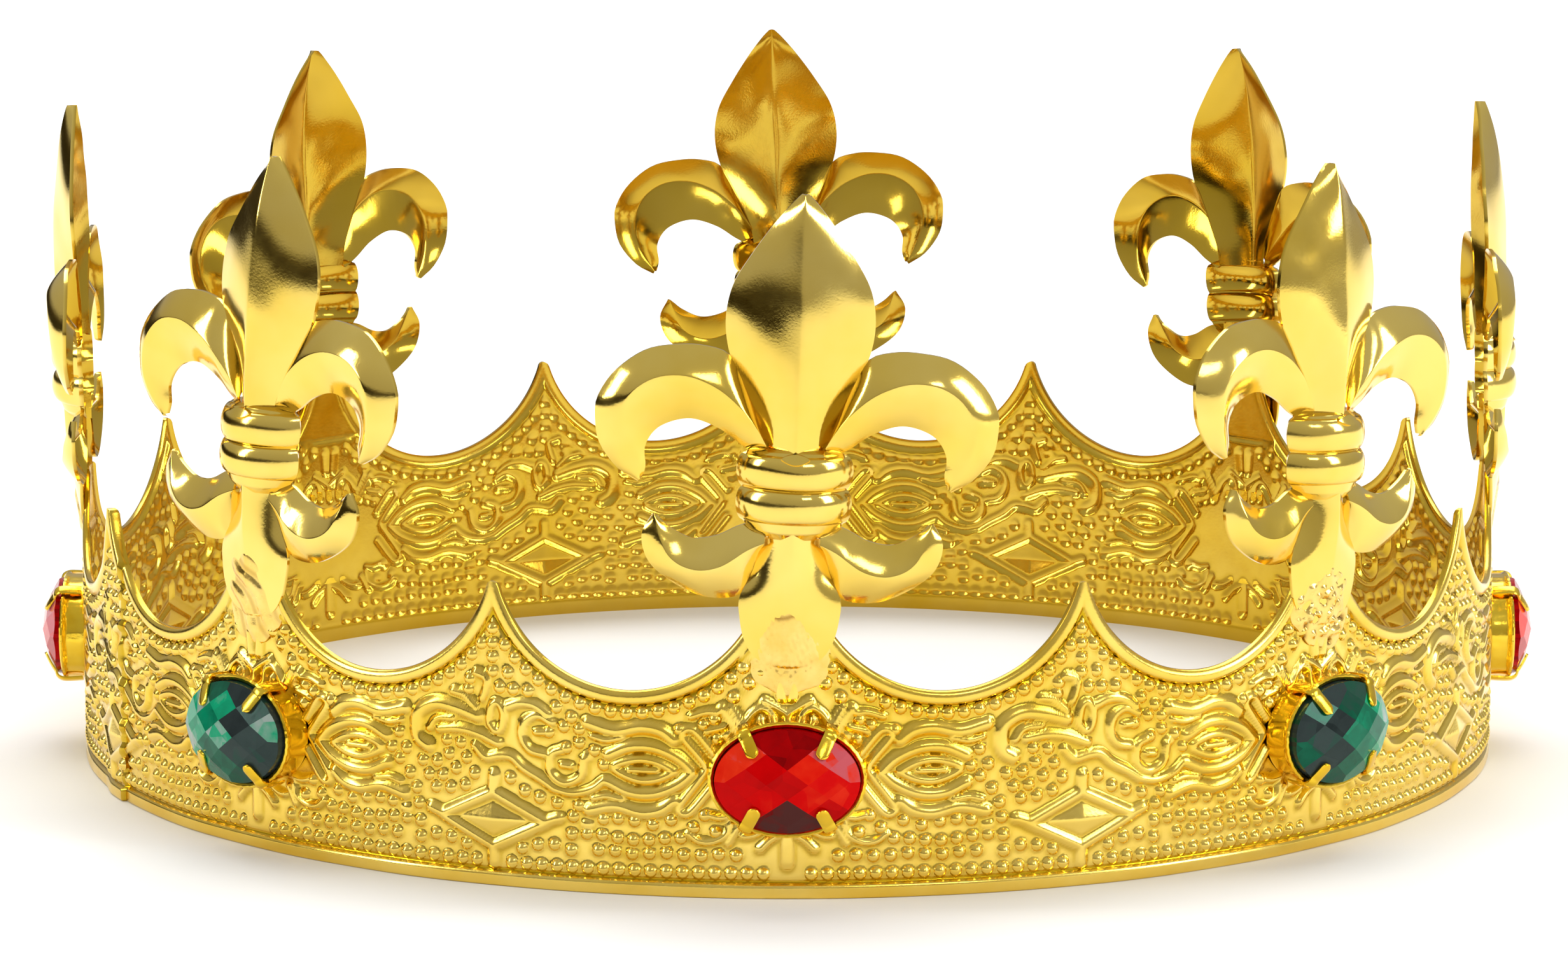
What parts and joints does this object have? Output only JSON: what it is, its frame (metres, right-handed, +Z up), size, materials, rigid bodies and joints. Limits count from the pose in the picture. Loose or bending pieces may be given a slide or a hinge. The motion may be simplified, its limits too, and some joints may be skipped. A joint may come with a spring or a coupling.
{
  "type": "crown",
  "caption": "Round costume crown: an embossed gold strip with scalloped top, fleurs-de-lis soldered on its peaks and oval red and green stones in pronged cups between rim and peaks.",
  "frame": {"origin": "on the crown's axis, level with the bottom rim it stands on", "axes": "+Z up through the head opening; -Y towards the front fleur, whose stone is red; +X to the right seen from the front"},
  "size_m": [0.2036, 0.2036, 0.0877],
  "materials": {
    "band_gold": "polished, gold-plated",
    "fleur_gold": "polished, gold-plated",
    "cup_gold": "polished, gold-plated",
    "red_stone": "faceted, foil-backed",
    "green_stone": "faceted, foil-backed",
    "solder": "rough, gold-plated over solder"
  },
  "bodies": {
    "root": {"embossed_band": "band_gold", "fleur_front": "fleur_gold", "fleur_front_right": "fleur_gold", "fleur_right": "fleur_gold", "fleur_back_right": "fleur_gold", "fleur_back": "fleur_gold", "fleur_back_left": "fleur_gold", "fleur_left": "fleur_gold", "fleur_front_left": "fleur_gold", "cup_front": "cup_gold", "cup_front_right": "cup_gold", "cup_right": "cup_gold", "cup_back_right": "cup_gold", "cup_back": "cup_gold", "cup_back_left": "cup_gold", "cup_left": "cup_gold", "cup_front_left": "cup_gold", "stone_front": "red_stone", "stone_front_right": "green_stone", "stone_right": "red_stone", "stone_back_right": "green_stone", "stone_back": "red_stone", "stone_back_left": "green_stone", "stone_left": "red_stone", "stone_front_left": "green_stone", "solder_front": "solder", "solder_front_right": "solder", "solder_right": "solder", "solder_back_right": "solder", "solder_back": "solder", "solder_back_left": "solder", "solder_left": "solder", "solder_front_left": "solder"}
  },
  "joints": []
}
